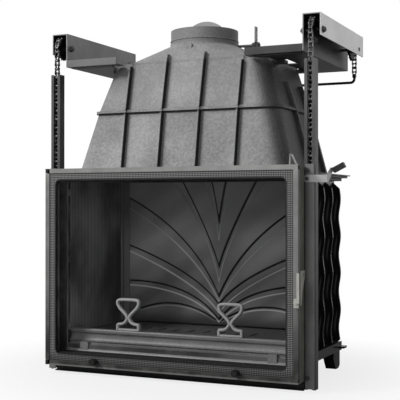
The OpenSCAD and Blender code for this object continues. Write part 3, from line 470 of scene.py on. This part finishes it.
def channel_sheet(name):
    """Bare sheet with painted light on the right outer face, and black on the channel's inside."""
    sheet = Finish(name, grey(0.3), 0.42, 0.25)
    x, _, z = sheet.axes()
    inner, outer = CHANNEL_INNER_X, CHANNEL_OUTER_X
    inside = abs(x).between((inner, inner + 0.0004), (outer, outer + 0.0004))
    inside = inside * z.falls(CHANNEL_TOP - 0.0002, CHANNEL_TOP + 0.0002)
    streak = sheet.noise(60.0, 3.0, 0.6, (14.0, 1.0, 1.0))
    cloud = sheet.noise(7.0, 3.0).rises(0.3, 0.72)
    marks = streak * 0.4 + cloud * 0.6
    # Painted light: a far lighter tone on the right outer face only
    dull, bright = sheet.tone(marks, grey(0.13), grey(0.24)), sheet.tone(marks, grey(0.62), grey(0.8))
    bare = sheet.over(x.rises(0.4234, 0.4238), dull, bright)
    sheet.feed("Base Color", sheet.over(inside, bare, sheet.tone(streak, grey(0.01), grey(0.03))))
    sheet.feed("Metallic", 0.3 * (1.0 - inside))
    sheet.feed("Roughness", 0.42 + 0.1 * (streak - 0.5))
    sheet.bump(streak, 0.00004)
    return sheet.material


FINISHES = {
    "cast_iron": sand_cast_iron("black_casting", 0.050, 0.105, 0.5, 0.00028),
    "hood_iron": hood_casting_iron("grey_casting"),
    "black_paint": satin_paint("black_satin_paint", grey(0.004), 0.4),
    "frame_steel": frame_paint("grey_frame_paint"),
    "bright_steel": rolled_sheet("bare_sheet_steel", 0.22, 0.36, 0.42, 0.4),
    "dark_steel": rolled_sheet("oiled_dark_steel", 0.035, 0.08, 0.45, 0.4),
    "zinc": zinc_plate("yellow_zinc"),
    "rope": glass_rope("braided_seal"),
    "door_glass": printed_glass("printed_door_glass"),
    "andiron": sand_cast_iron("andiron_casting", 0.22, 0.34, 0.46, 0.0002),
    "collar": sand_cast_iron("collar_casting", 0.115, 0.19, 0.5, 0.0002),
    "disc": rolled_sheet("damper_plate", 0.15, 0.22, 0.5, 0.2, (1.0, 1.0, 1.0)),
    "bars": sand_cast_iron("grey_bar_casting", 0.075, 0.155, 0.38, 0.00015),
    "lip": sand_cast_iron("rubbed_lip_casting", 0.1, 0.2, 0.38, 0.00015),
    "grate": sand_cast_iron("sooted_grate", 0.022, 0.062, 0.5, 0.0002),
    "shelf": shelf_sheet("shelf_sheet"),
    "lever": lever_steel("damper_lever_steel"),
    "jamb": rolled_sheet("jamb_sheet", 0.1, 0.17, 0.45, 0.3),
    "fins": side_casting_iron("black_fin_casting"),
    "panel": relief_iron("fan_casting"),
    "carrier": carrier_paint("carrier_paint"),
    "channel": channel_sheet("channel_sheet"),
}
SLOT_OF = {part["node"]: part["material_slot"] for part in frame["record"]["subparts"]}
OWN_FINISH = {
    "flue_collar": "collar", "damper_disc": "disc", "log_retainer": "bars", "hearth_lip": "lip",
    "base_plate": "fins", "rear_casting": "fins", "left_side": "fins", "right_side": "fins",
    "carrier_left": "carrier", "carrier_right": "carrier",
    "carrier_top": "carrier", "carrier_bottom": "carrier",
    "left_channel": "channel", "right_channel": "channel", "shelves": "shelf", "damper_lever": "lever",
    "left_jamb": "jamb", "right_jamb": "jamb", "grate": "grate",
}
# Width in metres and segments of each node's soft edges
EDGE_WIDTHS = {
    "flue_collar": (0.0012, 2), "log_retainer": (0.0022, 3), "hearth_lip": (0.0022, 3),
    "lower_hood": (0.0022, 3), "upper_hood": (0.0022, 3), "hood_crown": (0.0022, 3),
    "left_channel": (0.0006, 2), "right_channel": (0.0006, 2), "top_plate": (0.0012, 2),
    "left_side": (0.0014, 2), "right_side": (0.0014, 2), "lintel": (0.0012, 2),
    "control_grip": (0.0014, 3), "grate": (0.0012, 2), "door_glass": (0.0006, 2),
    "leaf_left": (0.0005, 2), "leaf_right": (0.0005, 2),
    "leaf_top": (0.0005, 2), "leaf_bottom": (0.0005, 2),
}


def round_edges():
    """Soft edges, as the mould or the press leaves them, by a live modifier on each node."""
    for name, (width, segments) in EDGE_WIDTHS.items():
        edge = frame["nodes"][name].modifiers.new("soft_edges", "BEVEL")
        edge.width = width
        edge.segments = segments
        edge.limit_method = "ANGLE"
        edge.angle_limit = math.radians(32.0)
        edge.harden_normals = False


def paint_cad_nodes():
    """Each node gets its own finish, or else that of its slot."""
    for name, node in frame["nodes"].items():
        node.data.materials.clear()
        node.data.materials.append(FINISHES[OWN_FINISH.get(name, SLOT_OF[name])])


# Modelling by hand


def deselect():
    bpy.ops.object.select_all(action="DESELECT")


def edit_mesh(piece, vertices=None, edges=None, faces=None):
    """Opens the piece in edit mode with only the elements that pass the one given test selected."""
    bpy.context.view_layer.objects.active = piece
    piece.select_set(True)
    bpy.ops.object.mode_set(mode="EDIT")
    mode = "VERT" if vertices else "EDGE" if edges else "FACE"
    bpy.ops.mesh.select_mode(type=mode)
    bpy.ops.mesh.select_all(action="DESELECT")
    shape = bmesh.from_edit_mesh(piece.data)
    for element in shape.verts if vertices else shape.edges if edges else shape.faces:
        element.select = bool((vertices or edges or faces)(element))
    shape.select_flush_mode()
    bmesh.update_edit_mesh(piece.data)


def close_edit():
    bpy.ops.object.mode_set(mode="OBJECT")


def settle(piece, material, body, slot, *replaced):
    """Puts the piece's place into its mesh, paints it and joins it to its body."""
    deselect()
    piece.select_set(True)
    bpy.context.view_layer.objects.active = piece
    bpy.ops.object.transform_apply(location=True, rotation=True, scale=True)
    piece.data.materials.clear()
    piece.data.materials.append(material)
    if body:
        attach(piece, body)
    if replaced:
        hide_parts(*replaced)
    return piece


def join(pieces, name):
    """One piece made of several, under a new name."""
    deselect()
    for piece in pieces:
        piece.select_set(True)
    bpy.context.view_layer.objects.active = pieces[0]
    bpy.ops.object.join()
    joined = bpy.context.object
    joined.name = name
    joined.data.name = name
    return joined


def copy_of(piece, turn):
    """A copy of the piece with a mesh of its own, moved by a matrix."""
    other = piece.copy()
    other.data = piece.data.copy()
    other.data.transform(turn)
    bpy.context.collection.objects.link(other)
    return other


def bevelled(piece, width):
    """Rounds the piece's edges with a bevel that is applied."""
    deselect()
    piece.select_set(True)
    bpy.context.view_layer.objects.active = piece
    bevel = piece.modifiers.new("edges", "BEVEL")
    bevel.width = width
    bevel.segments = 2
    bevel.limit_method = "ANGLE"
    bevel.angle_limit = math.radians(30.0)
    bpy.ops.object.modifier_apply(modifier=bevel.name)
    bpy.ops.object.shade_smooth_by_angle(angle=math.radians(35.0))
    return piece


def between_values(p, q, r, s, t):
    """The value at t between q and r on the smooth curve through p, q, r and s."""
    slope, bend, twist = r - p, 2 * p - 5 * q + 4 * r - s, 3 * q - p - 3 * r + s
    return 0.5 * (2 * q + slope * t + bend * t * t + twist * t**3)


def smooth_line(points, steps):
    """Points on a smooth curve through the given points."""
    line = []
    for i in range(len(points) - 1):
        before = points[max(i - 1, 0)]
        after = points[min(i + 2, len(points) - 1)]
        for k in range(steps):
            stretch = zip(before, points[i], points[i + 1], after)
            line.append(tuple(between_values(*values, k / steps) for values in stretch))
    line.append(tuple(points[-1]))
    return line


def swept_bar(name, points, width, depth, corner):
    """A bar of rounded rectangular section along the points, as a mesh."""
    deselect()
    section = bpy.data.curves.new(name + "_section", "CURVE")
    section.dimensions = "2D"
    outline = section.splines.new("POLY")
    half_w, half_d = width / 2 - corner, depth / 2 - corner
    ring = []
    for side, end, start in ((1, 1, 0), (-1, 1, 90), (-1, -1, 180), (1, -1, 270)):
        for k in range(4):
            angle = math.radians(start + 30 * k)
            ring.append((side * half_w + corner * math.cos(angle), end * half_d + corner * math.sin(angle)))
    outline.points.add(len(ring) - 1)
    for point, (x, y) in zip(outline.points, ring):
        point.co = (x, y, 0.0, 1.0)
    outline.use_cyclic_u = True
    section_piece = bpy.data.objects.new(name + "_section", section)
    bpy.context.collection.objects.link(section_piece)
    path = bpy.data.curves.new(name, "CURVE")
    path.dimensions = "3D"
    path.bevel_mode = "OBJECT"
    path.bevel_object = section_piece
    path.use_fill_caps = True
    line = path.splines.new("POLY")
    line.points.add(len(points) - 1)
    for point, spot in zip(line.points, points):
        point.co = (*spot, 1.0)
    bar = bpy.data.objects.new(name, path)
    bpy.context.collection.objects.link(bar)
    bar.select_set(True)
    bpy.context.view_layer.objects.active = bar
    bpy.ops.object.convert(target="MESH")
    bar = bpy.context.object
    bpy.data.objects.remove(section_piece)
    bpy.ops.object.shade_smooth_by_angle(angle=math.radians(40.0))
    return bar


# Roller chains

PLATE_RADIUS, PLATE_THICKNESS, PLATE_WAIST = 0.0053, 0.0015, 0.62


def make_link(name, plate_offset, roller_radius, roller_half):
    """One link, upright from its lower pin at the origin, with two waisted plates and one roller."""
    deselect()
    bpy.ops.mesh.primitive_circle_add(
        vertices=14, radius=PLATE_RADIUS, fill_type="NGON", rotation=SIDEWAYS, location=(0.0, 0.0, 0.0)
    )
    plate = bpy.context.object
    bpy.ops.object.transform_apply(location=True, rotation=True, scale=True)
    edit_mesh(plate, vertices=lambda v: v.co.z > 0.0002)
    bpy.ops.transform.translate(value=(0.0, 0.0, LINK))
    close_edit()
    edit_mesh(plate, edges=lambda e: abs(e.verts[0].co.z - e.verts[1].co.z) > 0.006)
    bpy.ops.mesh.subdivide(number_cuts=1)
    close_edit()
    edit_mesh(plate, vertices=lambda v: abs(v.co.z - LINK / 2) < 0.0012)
    bpy.ops.transform.resize(value=(1.0, PLATE_WAIST, 1.0))
    close_edit()
    edit_mesh(plate, faces=lambda f: True)
    bpy.ops.mesh.extrude_region_move(TRANSFORM_OT_translate={"value": (PLATE_THICKNESS, 0.0, 0.0)})
    bpy.ops.mesh.select_all(action="SELECT")
    bpy.ops.mesh.normals_make_consistent(inside=False)
    close_edit()
    plate.data.transform(Matrix.Translation((plate_offset, 0.0, 0.0)))
    other = copy_of(plate, Matrix.Translation((-2 * plate_offset - PLATE_THICKNESS, 0.0, 0.0)))
    deselect()
    bpy.ops.mesh.primitive_cylinder_add(
        vertices=12, radius=roller_radius, depth=2 * roller_half, rotation=SIDEWAYS
    )
    roller = bpy.context.object
    bpy.ops.object.transform_apply(location=True, rotation=True, scale=True)
    edit_mesh(roller, faces=lambda f: abs(f.normal.x) > 0.9)
    bpy.ops.mesh.inset(thickness=roller_radius * 0.3)
    close_edit()
    return join([plate, other, roller], name)


def chain_run(name, pins, material, body, replaced):
    """Links along the pins on both sides of the insert, as one piece."""
    inner = make_link(name + "_inner", plate_offset=0.0036, roller_radius=0.0041, roller_half=0.0036)
    outer = make_link(name + "_outer", plate_offset=0.0052, roller_radius=0.0022, roller_half=0.0072)
    links = []
    for i, (a, b) in enumerate(zip(pins, pins[1:])):
        along = Vector(b) - Vector(a)
        turn = Matrix.Rotation(math.atan2(-along.y, along.z), 4, "X")
        pattern = outer if i % 2 else inner
        for side in (-1, 1):
            links.append(copy_of(pattern, Matrix.Translation((side * CHAIN_X, a[1], a[2])) @ turn))
    for pattern in (inner, outer):
        bpy.data.objects.remove(pattern)
    chain = join(links, name)
    deselect()
    chain.select_set(True)
    bpy.ops.object.shade_smooth_by_angle(angle=math.radians(40.0))
    return settle(chain, material, body, "dark_steel", replaced)


def make_chains():
    """The chains' front drops, top runs and rear drops, each on both sides."""
    steel = chain_steel("oiled_chain")
    front = [(0.0, FRONT_CHAIN_Y, ANCHOR_Z + LINK * i) for i in range(FRONT_LINKS + 1)]
    rear = [(0.0, REAR_CHAIN_Y, HOOK_Z + LINK * i) for i in range(REAR_LINKS + 1)]
    # Over the front sprocket, along the top and over the rear sprocket
    arc = [math.radians(360 / TEETH * i) for i in range(ARC_LINKS + 1)]
    swings = [(SPROCKET_RADIUS * math.cos(angle), SPROCKET_RADIUS * math.sin(angle)) for angle in arc]
    top = [(0.0, FRONT_AXLE_Y - flat, AXLE_Z + rise) for flat, rise in swings]
    top += [(0.0, FRONT_AXLE_Y + LINK * i, AXLE_Z + SPROCKET_RADIUS) for i in range(1, TOP_LINKS + 1)]
    top += [(0.0, REAR_AXLE_Y + rise, AXLE_Z + flat) for flat, rise in swings[1:]]
    chain_run("top_roller_chains", top, steel, "hearth", "top_chains")
    front_piece = chain_run("front_roller_chains", front, steel, "hearth", "front_chains")
    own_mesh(front_piece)
    rear_piece = chain_run("rear_roller_chains", rear, steel, None, "rear_chains")
    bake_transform(rear_piece)


# Andirons


ANDIRON_X, ANDIRON_Y, ANDIRON_BASE = 0.162, 0.033, 0.124
# Half of the loop, out from the middle and up from the foot, in millimetres
ANDIRON_HALF = [
    (34.5, 2), (34.5, 9), (34.5, 15.5), (32.5, 18.6), (26, 19.2), (19, 20.5),
    (12, 24), (6.4, 30), (3.0, 38), (7.0, 46.5), (16.5, 56), (27.5, 66.5),
    (33.6, 76), (35, 83), (32.4, 88.6), (24, 91.0), (12, 91.4), (0, 91.4),
]


def make_andirons():
    """Two loops of rounded bar, drawn in at the waist, each on a foot."""
    outline = smooth_line(ANDIRON_HALF, 5)
    for side, node in ((-1, "left_andiron"), (1, "right_andiron")):
        centre = side * ANDIRON_X
        halves = []
        for flip in (-1, 1):
            line = [(centre + flip * x / 1000, ANDIRON_Y, ANDIRON_BASE + z / 1000) for x, z in outline]
            halves.append(swept_bar(node + "_half", line, width=0.0084, depth=0.0140, corner=0.0034))
        deselect()
        bpy.ops.mesh.primitive_cube_add(size=1.0, location=(centre, ANDIRON_Y, ANDIRON_BASE + 0.0035))
        foot = bpy.context.object
        foot.scale = (0.0640, 0.0105, 0.0062)
        bpy.ops.object.transform_apply(location=True, rotation=True, scale=True)
        bevelled(foot, 0.0016)
        piece = join([*halves, foot], node + "_casting")
        settle(piece, FINISHES["andiron"], "hearth", "bright_steel", node)


# Fan panel

PANEL_FRONT, PANEL_BACKING, PANEL_HALF, PANEL_LOW, PANEL_TOP = 0.324, 0.009, 0.317, 0.1181, 0.565
PANEL_COLUMNS, PANEL_ROWS = 317, 222
# Depth and slope of the flutes, widths of their painted shade line and painted highlight line, and the
# faintest tone kept
FLUTE_DEPTH, FLUTE_SLOPE, DARK_LINE, BRIGHT_LINE, FAINT_TONE = 0.004, 0.0024, 0.0024, 0.0021, 0.02
# Upper and lower edge of each flute on the right half, each a curve with three control points
FLUTES = (
    (((25, 572), (9, 500), (-0.6, 437)), ((48, 572), (9, 464), (-0.6, 380))),
    (((128, 572), (22.5, 385), (-0.6, 297)), ((160, 572), (30.5, 407), (-0.6, 250))),
    (((318, 516), (85, 401), (-0.6, 206)), ((318, 483), (85, 357), (-0.6, 190))),
    (((318, 362), (70, 277), (-0.6, 180)), ((318, 343), (70, 246), (-0.6, 155))),
    (((318, 247), (95, 250), (-0.6, 134)), ((318, 232), (95, 229), (-0.6, 126))),
    (((275, 158), (136, 210), (12, 133)), ((275, 152), (136, 199), (12, 129))),
)


def curve_line(start, pull, end):
    """Points in metres on the curve with three control points in millimetres."""
    t = numpy.linspace(0.0, 1.0, 29)[:, None]
    points = [numpy.array(p, dtype=float) / 1000.0 for p in (start, pull, end)]
    return points[0] * (1 - t) ** 2 + 2 * points[1] * t * (1 - t) + points[2] * t ** 2


def distance_to_line(spots, line):
    """Distance of each spot from a line of points."""
    nearest = numpy.full(len(spots), 1.0)
    for a, b in zip(line[:-1], line[1:]):
        way = b - a
        t = numpy.clip(((spots - a) @ way) / (way @ way), 0.0, 1.0)
        nearest = numpy.minimum(nearest, numpy.linalg.norm(spots - (a + t[:, None] * way), axis=1))
    return nearest


def inside_outline(spots, outline):
    """Whether each spot is inside the closed outline."""
    inside = numpy.zeros(len(spots), dtype=bool)
    for a, b in zip(outline, numpy.roll(outline, -1, axis=0)):
        crosses = (a[1] > spots[:, 1]) != (b[1] > spots[:, 1])
        with numpy.errstate(divide="ignore", invalid="ignore"):
            at = (b[0] - a[0]) * (spots[:, 1] - a[1]) / (b[1] - a[1]) + a[0]
        inside ^= crosses & (spots[:, 0] < at)
    return inside


def flute_field(x, z):
    """How deep each spot lies in a flute, from 0 to 1, and its edge tone: painted highlight above 0, painted
    shade below 0.
    """
    spots = numpy.column_stack((numpy.abs(x), z))
    depth, edge = numpy.zeros(len(x)), numpy.zeros(len(x))
    for upper, lower in FLUTES:
        top, low = curve_line(*upper), curve_line(*lower)
        near_top, near_low = distance_to_line(spots, top), distance_to_line(spots, low)
        inside = inside_outline(spots, numpy.vstack((top, low[::-1])))
        nearest = numpy.minimum(near_top, near_low)
        reach = numpy.where(inside, nearest, -nearest)
        slope = numpy.clip((reach + FLUTE_SLOPE / 3) / FLUTE_SLOPE, 0.0, 1.0)
        depth = numpy.maximum(depth, slope * slope * (3 - 2 * slope))
        # The painted highlight is weak in narrow tips, and on the left half in flutes that stop short of its
        # side
        room = numpy.clip((near_top + near_low) / 0.012, 0.25, 1.0)
        side = numpy.where(x > 0, 0.75, 1.0 if upper[0][0] > 300 else 0.55)
        dark = numpy.clip(1.5 - near_top / DARK_LINE, 0.0, 1.0)
        bright = numpy.clip(1.2 - near_low / BRIGHT_LINE, 0.0, 1.0) * (near_low < near_top) * room * side
        lit = numpy.where(bright > FAINT_TONE, numpy.maximum(edge, bright), edge)
        edge = numpy.where(dark > FAINT_TONE, -dark, lit)
    return depth, edge


def make_fan_panel():
    """The fan panel's front with flutes whose edges slope as cast; the edges' painted highlight and shade are
    kept on the mesh.
    """
    deselect()
    bpy.ops.mesh.primitive_grid_add(x_subdivisions=PANEL_COLUMNS, y_subdivisions=PANEL_ROWS, size=2.0)
    panel = bpy.context.object
    panel.name = "fan_relief"
    mesh = panel.data
    flat = numpy.empty(len(mesh.vertices) * 3)
    mesh.vertices.foreach_get("co", flat)
    flat = flat.reshape(-1, 3)
    x = flat[:, 0] * PANEL_HALF
    z = PANEL_LOW + (flat[:, 1] + 1.0) / 2.0 * (PANEL_TOP - PANEL_LOW)
    depth, edge = flute_field(x, z)
    spot = numpy.column_stack((x, PANEL_FRONT + FLUTE_DEPTH * depth, z))
    mesh.vertices.foreach_set("co", spot.ravel())
    tone = mesh.attributes.new("flute_light_and_shade", "FLOAT", "POINT")
    tone.data.foreach_set("value", edge)
    mesh.update()
    edit_mesh(panel, edges=lambda e: e.is_boundary)
    bpy.ops.mesh.extrude_region_move(TRANSFORM_OT_translate={"value": (0.0, PANEL_BACKING, 0.0)})
    bpy.ops.mesh.edge_face_add()
    bpy.ops.mesh.select_all(action="SELECT")
    bpy.ops.mesh.normals_make_consistent(inside=False)
    close_edit()
    bpy.ops.object.shade_smooth_by_angle(angle=math.radians(60.0))
    settle(panel, FINISHES["panel"], "hearth", "cast_iron", "fan_panel")


# Camera, world, floor and lamps


def set_camera():
    """The photograph's own place and angle, as fitted to the whole object."""
    camera = bpy.data.objects.new("camera", bpy.data.cameras.new("camera"))
    bpy.context.collection.objects.link(camera)
    camera.location = (1.196, -2.4366, 0.4934)
    camera.rotation_euler = (math.radians(90.288), 0.0, math.radians(24.543))
    camera.data.sensor_width = 36.0
    camera.data.lens = 86.34
    bpy.context.scene.camera = camera


def set_world():
    """Soft light, and plain white for what the camera, glossy rays and the glass look at."""
    world = bpy.data.worlds.new("studio")
    world.use_nodes = True
    bpy.context.scene.world = world
    studio = NodeTree(world.node_tree)
    white = (1.0, 1.0, 1.0, 1.0)
    background = studio.tree.nodes["Background"]
    studio.fill(background, {"Color": white, "Strength": 0.2})
    soft = Socket(studio, background.outputs[0])
    plain = studio.node("ShaderNodeBackground", inputs={"Color": white, "Strength": 1.0})
    rays = ("Camera", "Glossy", "Transmission")
    camera, glossy, through = (studio.node("ShaderNodeLightPath", output=f"Is {ray} Ray") for ray in rays)
    mixed = studio.mixed(camera.most(glossy).most(through), soft, plain)
    studio.fill(studio.tree.nodes["World Output"], {"Surface": mixed})


def set_floor():
    """A pale floor that fades to white for the camera."""
    deselect()
    bpy.ops.mesh.primitive_circle_add(vertices=96, radius=9.0, fill_type="NGON", location=(0.0, 0.2, -0.0006))
    floor = bpy.context.object
    floor.name = "floor"
    paper = Finish("pale_floor", grey(0.42), 0.9, specular=0.5)
    away = paper.node("ShaderNodeVectorMath", {"operation": "LENGTH"}, {0: paper.place}, output="Value")
    seen = paper.node("ShaderNodeLightPath", output="Is Camera Ray")
    matt = Socket(paper, paper.shader.outputs[0])
    glow = paper.node("ShaderNodeEmission", inputs={"Strength": 1.0})
    mixed = paper.mixed(seen * (0.8 + 0.2 * away.rises(0.35, 0.95)), matt, glow)
    paper.fill(paper.tree.nodes["Material Output"], {"Surface": mixed})
    floor.data.materials.append(paper.material)


def add_lamp(name, place, target, size, watts):
    """A rectangular lamp that points at its target."""
    lamp = bpy.data.objects.new(name, bpy.data.lights.new(name, "AREA"))
    lamp.data.shape = "RECTANGLE"
    lamp.data.size, lamp.data.size_y = size
    lamp.data.energy = watts
    lamp.location = place
    lamp.rotation_euler = (Vector(target) - Vector(place)).to_track_quat("-Z", "Y").to_euler()
    bpy.context.collection.objects.link(lamp)


def set_lamps():
    add_lamp("key_lamp", (-1.7, -1.9, 2.5), (0.0, 0.1, 0.55), (0.7, 0.6), 95.0)
    add_lamp("front_lamp", (-0.3, -3.4, 1.9), (0.0, 0.1, 0.4), (0.9, 0.9), 34.0)
    add_lamp("side_lamp", (3.2, -0.7, 1.3), (0.1, 0.2, 0.6), (0.5, 1.8), 12.0)
    add_lamp("top_lamp", (0.2, 0.4, 3.2), (0.0, 0.2, 0.8), (1.6, 1.6), 10.0)


set_camera()
paint_cad_nodes()
round_edges()
make_chains()
make_andirons()
make_fan_panel()
set_world()
set_floor()
set_lamps()
bpy.context.scene.view_settings.view_transform = "Standard"
